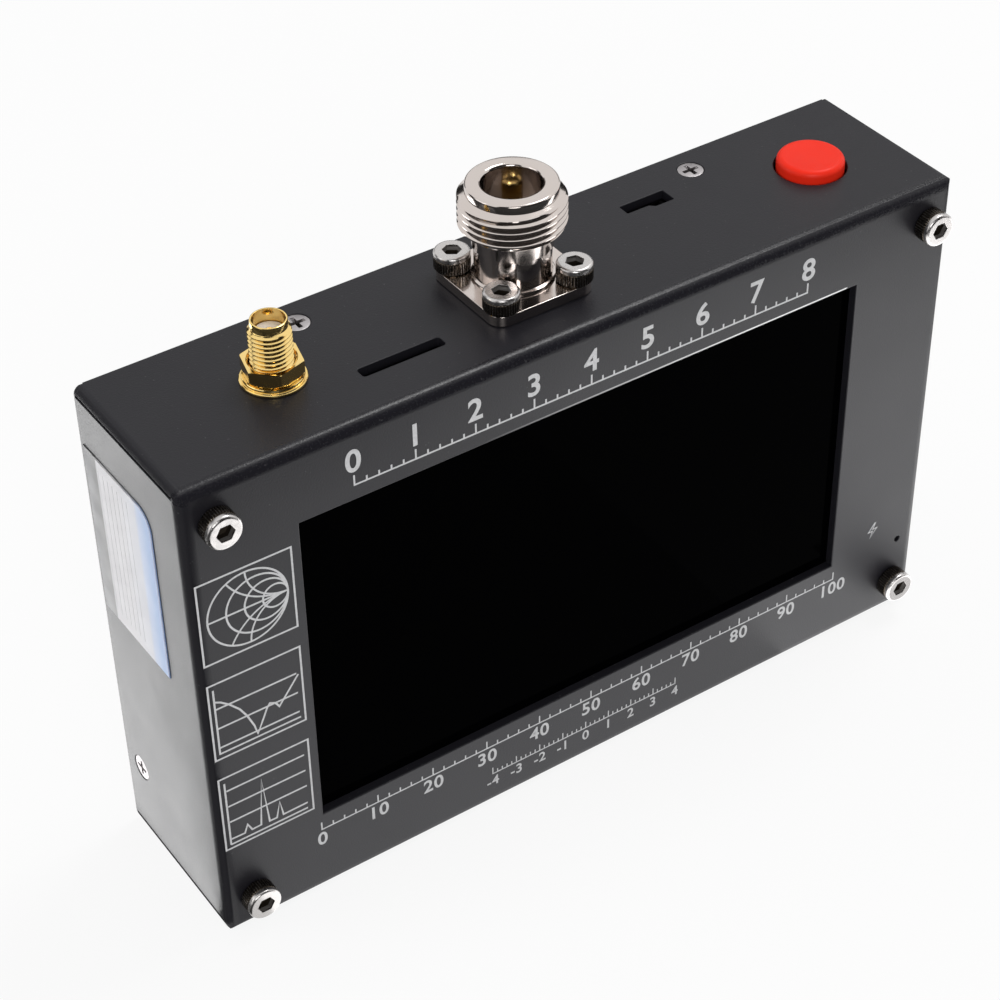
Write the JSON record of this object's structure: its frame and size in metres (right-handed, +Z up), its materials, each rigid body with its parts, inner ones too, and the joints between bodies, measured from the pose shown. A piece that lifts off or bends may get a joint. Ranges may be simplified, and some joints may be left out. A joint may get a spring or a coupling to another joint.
{
  "type": "antenna analyzer",
  "caption": "Hand-held antenna analyzer: flat black sheet-metal case with a screen window in front and coaxial connectors, slots and a red power button on top.",
  "frame": {"origin": "middle of the bottom wall's outer face, which the case stands on", "axes": "+X along the case's width to the right of the screen, +Y from the screen face to the back cover, +Z up to the connectors"},
  "size_m": [0.1351, 0.0331, 0.1023],
  "materials": {
    "black_paint": "fine satin powder coat",
    "nickel": "bright nickel plate",
    "gold": "bright gold plate",
    "steel": "zinc-plated steel",
    "black_glass": "polished, black from behind",
    "red_plastic": "satin moulded plastic",
    "black_plastic": "moulded plastic",
    "white_plastic": "turned white plastic",
    "green_board": "solder mask over glass fibre",
    "foam": "closed-cell foam tape",
    "ribbon": "amber film",
    "battery_wrap": "shrink film over a flat cell",
    "red_wire": "wire insulation",
    "black_wire": "wire insulation",
    "label": "printed film",
    "lamp": "clear moulded plastic"
  },
  "bodies": {
    "case": {"front_shell": "black_paint", "back_cover": "black_paint", "cover_screw_top_left": "steel", "cover_screw_top_right": "steel", "cover_screw_bottom_left": "steel", "cover_screw_bottom_right": "steel", "cover_screw_left_low": "steel", "cover_screw_left_high": "steel", "cover_screw_right_low": "steel", "cover_screw_right_high": "steel", "front_screw_lower_left": "nickel", "board_spacer_lower_left": "black_plastic", "board_nut_lower_left": "steel", "front_screw_lower_right": "nickel", "board_spacer_lower_right": "black_plastic", "board_nut_lower_right": "steel", "front_screw_upper_left": "nickel", "board_spacer_upper_left": "black_plastic", "board_nut_upper_left": "steel", "front_screw_upper_right": "nickel", "board_spacer_upper_right": "black_plastic", "board_nut_upper_right": "steel", "screen_glass": "black_glass", "display_module": "black_plastic", "display_tape": "foam", "display_ribbon": "ribbon", "main_board": "green_board", "processor": "black_plastic", "radio_board": "green_board", "shield_can": "steel", "board_header": "black_plastic", "n_connector_shell": "nickel", "n_connector_insulator": "white_plastic", "n_connector_contact": "gold", "flange_screw_front_left": "nickel", "flange_nut_front_left": "steel", "flange_screw_front_right": "nickel", "flange_nut_front_right": "steel", "flange_screw_back_right": "nickel", "flange_nut_back_right": "steel", "flange_screw_back_left": "nickel", "flange_nut_back_left": "steel", "sma_connector_shell": "gold", "sma_connector_insulator": "white_plastic", "sma_connector_contact": "gold", "sma_connector_washer": "gold", "sma_connector_nut": "gold", "power_switch": "black_plastic", "power_board": "green_board", "board_post_left": "white_plastic", "board_post_right": "white_plastic", "card_socket": "steel", "charge_socket": "steel", "charge_light": "lamp", "battery_pack": "battery_wrap", "battery_lead_red": "red_wire", "battery_lead_black": "black_wire", "side_label": "label"},
    "button": {"power_button": "red_plastic", "switch_plunger": "black_plastic"}
  },
  "joints": [
    {"name": "button_press", "type": "slide", "parent": "case", "child": "button", "axis": [0, 0, -1], "range_m": [0, 0.0015], "stiffness_N_per_m": 600, "springref_m": -0.001}
  ]
}
